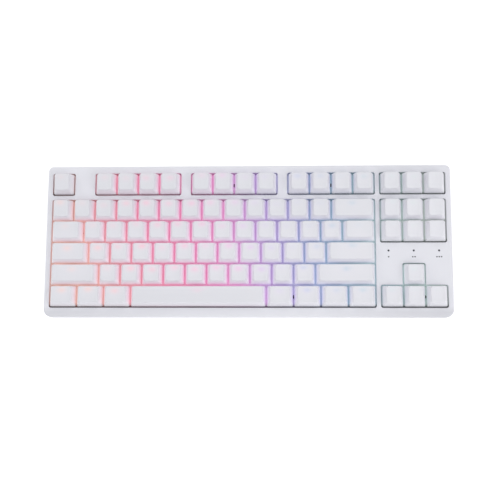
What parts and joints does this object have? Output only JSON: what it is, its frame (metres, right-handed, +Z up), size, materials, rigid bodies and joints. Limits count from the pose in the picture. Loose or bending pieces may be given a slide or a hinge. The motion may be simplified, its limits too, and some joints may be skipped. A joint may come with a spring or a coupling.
{
  "type": "mechanical keyboard",
  "caption": "Tenkeyless mechanical keyboard with sculpted blank keycaps on sprung switches, a tilted two-part case and folding rear feet.",
  "frame": {"origin": "middle of the bounding box's footprint, on the table under the rubber pads", "axes": "+X to the typist's right along the key rows, +Y from the typist to the rear, +Z up; the deck leans 6 degrees towards the typist"},
  "size_m": [0.358, 0.1348, 0.0433],
  "materials": {
    "case_plastic": "moulded, fine satin texture",
    "keycap_plastic": "fine satin, slightly translucent",
    "plate_metal": "white paint, lit from the key LEDs",
    "board": "dark solder mask",
    "chip": "moulded epoxy",
    "foam": "open-cell foam",
    "screw_steel": "black oxide",
    "socket_steel": "bright plated",
    "lens": "clear smoked light pipe",
    "housing_plastic": "nylon",
    "clear_housing": "clear polycarbonate",
    "contact_brass": "plated copper alloy",
    "spring_steel": "bright wire",
    "led": "epoxy dome",
    "rubber": "soft matt rubber"
  },
  "bodies": {
    "case": {"top_case": "case_plastic", "bottom_case": "case_plastic", "rubber_pads": "rubber", "switch_plate": "plate_metal", "circuit_board": "board", "board_chips": "chip", "sound_foam": "foam", "case_screws": "screw_steel", "plate_screws": "screw_steel", "usb_socket": "socket_steel", "indicator_lenses": "lens", "switch_lower_housings": "housing_plastic", "switch_upper_housings": "clear_housing", "switch_contacts": "contact_brass", "switch_springs": "spring_steel", "key_leds": "led", "stabilizer_housings": "clear_housing"},
    "escape_key": {"escape_key": "keycap_plastic"},
    "f1_f4_keys": {"f1_f4_keys": "keycap_plastic"},
    "f5_f8_keys": {"f5_f8_keys": "keycap_plastic"},
    "f9_f12_keys": {"f9_f12_keys": "keycap_plastic"},
    "print_group_keys": {"print_group_keys": "keycap_plastic"},
    "number_keys_left": {"number_keys_left": "keycap_plastic"},
    "number_keys_right": {"number_keys_right": "keycap_plastic"},
    "backspace_key": {"backspace_key": "keycap_plastic"},
    "nav_upper_keys": {"nav_upper_keys": "keycap_plastic"},
    "tab_key": {"tab_key": "keycap_plastic"},
    "top_letters_left": {"top_letters_left": "keycap_plastic"},
    "top_letters_right": {"top_letters_right": "keycap_plastic"},
    "backslash_key": {"backslash_key": "keycap_plastic"},
    "nav_lower_keys": {"nav_lower_keys": "keycap_plastic"},
    "caps_lock_key": {"caps_lock_key": "keycap_plastic"},
    "home_letters_left": {"home_letters_left": "keycap_plastic"},
    "home_letters_right": {"home_letters_right": "keycap_plastic"},
    "enter_key": {"enter_key": "keycap_plastic"},
    "left_shift_key": {"left_shift_key": "keycap_plastic"},
    "lower_letters_left": {"lower_letters_left": "keycap_plastic"},
    "lower_letters_right": {"lower_letters_right": "keycap_plastic"},
    "right_shift_key": {"right_shift_key": "keycap_plastic"},
    "up_arrow_key": {"up_arrow_key": "keycap_plastic"},
    "left_control_key": {"left_control_key": "keycap_plastic"},
    "left_system_key": {"left_system_key": "keycap_plastic"},
    "left_alt_key": {"left_alt_key": "keycap_plastic"},
    "space_bar": {"space_bar": "keycap_plastic"},
    "right_alt_key": {"right_alt_key": "keycap_plastic"},
    "function_shift_key": {"function_shift_key": "keycap_plastic"},
    "menu_key": {"menu_key": "keycap_plastic"},
    "right_control_key": {"right_control_key": "keycap_plastic"},
    "left_arrow_key": {"left_arrow_key": "keycap_plastic"},
    "down_arrow_key": {"down_arrow_key": "keycap_plastic"},
    "right_arrow_key": {"right_arrow_key": "keycap_plastic"},
    "backspace_wire": {"backspace_wire": "spring_steel"},
    "enter_wire": {"enter_wire": "spring_steel"},
    "left_shift_wire": {"left_shift_wire": "spring_steel"},
    "right_shift_wire": {"right_shift_wire": "spring_steel"},
    "space_bar_wire": {"space_bar_wire": "spring_steel"},
    "left_foot": {"left_foot": "case_plastic", "left_foot_grip": "rubber"},
    "right_foot": {"right_foot": "case_plastic", "right_foot_grip": "rubber"}
  },
  "joints": [
    {"name": "escape_key_press", "type": "slide", "parent": "case", "child": "escape_key", "axis": [0, 0.1045, -0.9945], "range_m": [0, 0.004], "stiffness_N_per_m": 75, "springref_m": -0.004, "deforming": ["switch_springs"]},
    {"name": "f1_f4_keys_press", "type": "slide", "parent": "case", "child": "f1_f4_keys", "axis": [0, 0.1045, -0.9945], "range_m": [0, 0.004], "stiffness_N_per_m": 300, "springref_m": -0.004, "deforming": ["switch_springs"]},
    {"name": "f5_f8_keys_press", "type": "slide", "parent": "case", "child": "f5_f8_keys", "axis": [0, 0.1045, -0.9945], "range_m": [0, 0.004], "stiffness_N_per_m": 300, "springref_m": -0.004, "deforming": ["switch_springs"]},
    {"name": "f9_f12_keys_press", "type": "slide", "parent": "case", "child": "f9_f12_keys", "axis": [0, 0.1045, -0.9945], "range_m": [0, 0.004], "stiffness_N_per_m": 300, "springref_m": -0.004, "deforming": ["switch_springs"]},
    {"name": "print_group_keys_press", "type": "slide", "parent": "case", "child": "print_group_keys", "axis": [0, 0.1045, -0.9945], "range_m": [0, 0.004], "stiffness_N_per_m": 225, "springref_m": -0.004, "deforming": ["switch_springs"]},
    {"name": "number_keys_left_press", "type": "slide", "parent": "case", "child": "number_keys_left", "axis": [0, 0.1045, -0.9945], "range_m": [0, 0.004], "stiffness_N_per_m": 525, "springref_m": -0.004, "deforming": ["switch_springs"]},
    {"name": "number_keys_right_press", "type": "slide", "parent": "case", "child": "number_keys_right", "axis": [0, 0.1045, -0.9945], "range_m": [0, 0.004], "stiffness_N_per_m": 450, "springref_m": -0.004, "deforming": ["switch_springs"]},
    {"name": "backspace_key_press", "type": "slide", "parent": "case", "child": "backspace_key", "axis": [0, 0.1045, -0.9945], "range_m": [0, 0.004], "stiffness_N_per_m": 75, "springref_m": -0.004, "deforming": ["switch_springs"]},
    {"name": "nav_upper_keys_press", "type": "slide", "parent": "case", "child": "nav_upper_keys", "axis": [0, 0.1045, -0.9945], "range_m": [0, 0.004], "stiffness_N_per_m": 225, "springref_m": -0.004, "deforming": ["switch_springs"]},
    {"name": "tab_key_press", "type": "slide", "parent": "case", "child": "tab_key", "axis": [0, 0.1045, -0.9945], "range_m": [0, 0.004], "stiffness_N_per_m": 75, "springref_m": -0.004, "deforming": ["switch_springs"]},
    {"name": "top_letters_left_press", "type": "slide", "parent": "case", "child": "top_letters_left", "axis": [0, 0.1045, -0.9945], "range_m": [0, 0.004], "stiffness_N_per_m": 450, "springref_m": -0.004, "deforming": ["switch_springs"]},
    {"name": "top_letters_right_press", "type": "slide", "parent": "case", "child": "top_letters_right", "axis": [0, 0.1045, -0.9945], "range_m": [0, 0.004], "stiffness_N_per_m": 450, "springref_m": -0.004, "deforming": ["switch_springs"]},
    {"name": "backslash_key_press", "type": "slide", "parent": "case", "child": "backslash_key", "axis": [0, 0.1045, -0.9945], "range_m": [0, 0.004], "stiffness_N_per_m": 75, "springref_m": -0.004, "deforming": ["switch_springs"]},
    {"name": "nav_lower_keys_press", "type": "slide", "parent": "case", "child": "nav_lower_keys", "axis": [0, 0.1045, -0.9945], "range_m": [0, 0.004], "stiffness_N_per_m": 225, "springref_m": -0.004, "deforming": ["switch_springs"]},
    {"name": "caps_lock_key_press", "type": "slide", "parent": "case", "child": "caps_lock_key", "axis": [0, 0.1045, -0.9945], "range_m": [0, 0.004], "stiffness_N_per_m": 75, "springref_m": -0.004, "deforming": ["switch_springs"]},
    {"name": "home_letters_left_press", "type": "slide", "parent": "case", "child": "home_letters_left", "axis": [0, 0.1045, -0.9945], "range_m": [0, 0.004], "stiffness_N_per_m": 375, "springref_m": -0.004, "deforming": ["switch_springs"]},
    {"name": "home_letters_right_press", "type": "slide", "parent": "case", "child": "home_letters_right", "axis": [0, 0.1045, -0.9945], "range_m": [0, 0.004], "stiffness_N_per_m": 450, "springref_m": -0.004, "deforming": ["switch_springs"]},
    {"name": "enter_key_press", "type": "slide", "parent": "case", "child": "enter_key", "axis": [0, 0.1045, -0.9945], "range_m": [0, 0.004], "stiffness_N_per_m": 75, "springref_m": -0.004, "deforming": ["switch_springs"]},
    {"name": "left_shift_key_press", "type": "slide", "parent": "case", "child": "left_shift_key", "axis": [0, 0.1045, -0.9945], "range_m": [0, 0.004], "stiffness_N_per_m": 75, "springref_m": -0.004, "deforming": ["switch_springs"]},
    {"name": "lower_letters_left_press", "type": "slide", "parent": "case", "child": "lower_letters_left", "axis": [0, 0.1045, -0.9945], "range_m": [0, 0.004], "stiffness_N_per_m": 375, "springref_m": -0.004, "deforming": ["switch_springs"]},
    {"name": "lower_letters_right_press", "type": "slide", "parent": "case", "child": "lower_letters_right", "axis": [0, 0.1045, -0.9945], "range_m": [0, 0.004], "stiffness_N_per_m": 375, "springref_m": -0.004, "deforming": ["switch_springs"]},
    {"name": "right_shift_key_press", "type": "slide", "parent": "case", "child": "right_shift_key", "axis": [0, 0.1045, -0.9945], "range_m": [0, 0.004], "stiffness_N_per_m": 75, "springref_m": -0.004, "deforming": ["switch_springs"]},
    {"name": "up_arrow_key_press", "type": "slide", "parent": "case", "child": "up_arrow_key", "axis": [0, 0.1045, -0.9945], "range_m": [0, 0.004], "stiffness_N_per_m": 75, "springref_m": -0.004, "deforming": ["switch_springs"]},
    {"name": "left_control_key_press", "type": "slide", "parent": "case", "child": "left_control_key", "axis": [0, 0.1045, -0.9945], "range_m": [0, 0.004], "stiffness_N_per_m": 75, "springref_m": -0.004, "deforming": ["switch_springs"]},
    {"name": "left_system_key_press", "type": "slide", "parent": "case", "child": "left_system_key", "axis": [0, 0.1045, -0.9945], "range_m": [0, 0.004], "stiffness_N_per_m": 75, "springref_m": -0.004, "deforming": ["switch_springs"]},
    {"name": "left_alt_key_press", "type": "slide", "parent": "case", "child": "left_alt_key", "axis": [0, 0.1045, -0.9945], "range_m": [0, 0.004], "stiffness_N_per_m": 75, "springref_m": -0.004, "deforming": ["switch_springs"]},
    {"name": "space_bar_press", "type": "slide", "parent": "case", "child": "space_bar", "axis": [0, 0.1045, -0.9945], "range_m": [0, 0.004], "stiffness_N_per_m": 75, "springref_m": -0.004, "deforming": ["switch_springs"]},
    {"name": "right_alt_key_press", "type": "slide", "parent": "case", "child": "right_alt_key", "axis": [0, 0.1045, -0.9945], "range_m": [0, 0.004], "stiffness_N_per_m": 75, "springref_m": -0.004, "deforming": ["switch_springs"]},
    {"name": "function_shift_key_press", "type": "slide", "parent": "case", "child": "function_shift_key", "axis": [0, 0.1045, -0.9945], "range_m": [0, 0.004], "stiffness_N_per_m": 75, "springref_m": -0.004, "deforming": ["switch_springs"]},
    {"name": "menu_key_press", "type": "slide", "parent": "case", "child": "menu_key", "axis": [0, 0.1045, -0.9945], "range_m": [0, 0.004], "stiffness_N_per_m": 75, "springref_m": -0.004, "deforming": ["switch_springs"]},
    {"name": "right_control_key_press", "type": "slide", "parent": "case", "child": "right_control_key", "axis": [0, 0.1045, -0.9945], "range_m": [0, 0.004], "stiffness_N_per_m": 75, "springref_m": -0.004, "deforming": ["switch_springs"]},
    {"name": "left_arrow_key_press", "type": "slide", "parent": "case", "child": "left_arrow_key", "axis": [0, 0.1045, -0.9945], "range_m": [0, 0.004], "stiffness_N_per_m": 75, "springref_m": -0.004, "deforming": ["switch_springs"]},
    {"name": "down_arrow_key_press", "type": "slide", "parent": "case", "child": "down_arrow_key", "axis": [0, 0.1045, -0.9945], "range_m": [0, 0.004], "stiffness_N_per_m": 75, "springref_m": -0.004, "deforming": ["switch_springs"]},
    {"name": "right_arrow_key_press", "type": "slide", "parent": "case", "child": "right_arrow_key", "axis": [0, 0.1045, -0.9945], "range_m": [0, 0.004], "stiffness_N_per_m": 75, "springref_m": -0.004, "deforming": ["switch_springs"]},
    {"name": "backspace_wire_turn", "type": "hinge", "parent": "case", "child": "backspace_wire", "pos_m": [0.09287, 0.01889, 0.01793], "axis": [1, 0, 0], "range_deg": [-25.4, 0]},
    {"name": "enter_wire_turn", "type": "hinge", "parent": "case", "child": "enter_wire", "pos_m": [0.09049, -0.019, 0.01395], "axis": [1, 0, 0], "range_deg": [-25.4, 0]},
    {"name": "left_shift_wire_turn", "type": "hinge", "parent": "case", "child": "left_shift_wire", "pos_m": [-0.1524, -0.03794, 0.01195], "axis": [1, 0, 0], "range_deg": [-25.4, 0]},
    {"name": "right_shift_wire_turn", "type": "hinge", "parent": "case", "child": "right_shift_wire", "pos_m": [0.08572, -0.03794, 0.01195], "axis": [1, 0, 0], "range_deg": [-25.4, 0]},
    {"name": "space_bar_wire_turn", "type": "hinge", "parent": "case", "child": "space_bar_wire", "pos_m": [-0.04286, -0.05689, 0.00996], "axis": [1, 0, 0], "range_deg": [-25.4, 0]},
    {"name": "left_foot_fold", "type": "hinge", "parent": "case", "child": "left_foot", "pos_m": [-0.14, 0.052, 0.0037], "axis": [1, 0, 0], "range_deg": [0, 95]},
    {"name": "right_foot_fold", "type": "hinge", "parent": "case", "child": "right_foot", "pos_m": [0.14, 0.052, 0.0037], "axis": [1, 0, 0], "range_deg": [0, 95]}
  ],
  "couplings": [
    {"joint": "backspace_wire_turn", "follows": "backspace_key_press", "rad_per_m": -110.2},
    {"joint": "enter_wire_turn", "follows": "enter_key_press", "rad_per_m": -110.2},
    {"joint": "left_shift_wire_turn", "follows": "left_shift_key_press", "rad_per_m": -110.2},
    {"joint": "right_shift_wire_turn", "follows": "right_shift_key_press", "rad_per_m": -110.2},
    {"joint": "space_bar_wire_turn", "follows": "space_bar_press", "rad_per_m": -110.2}
  ]
}
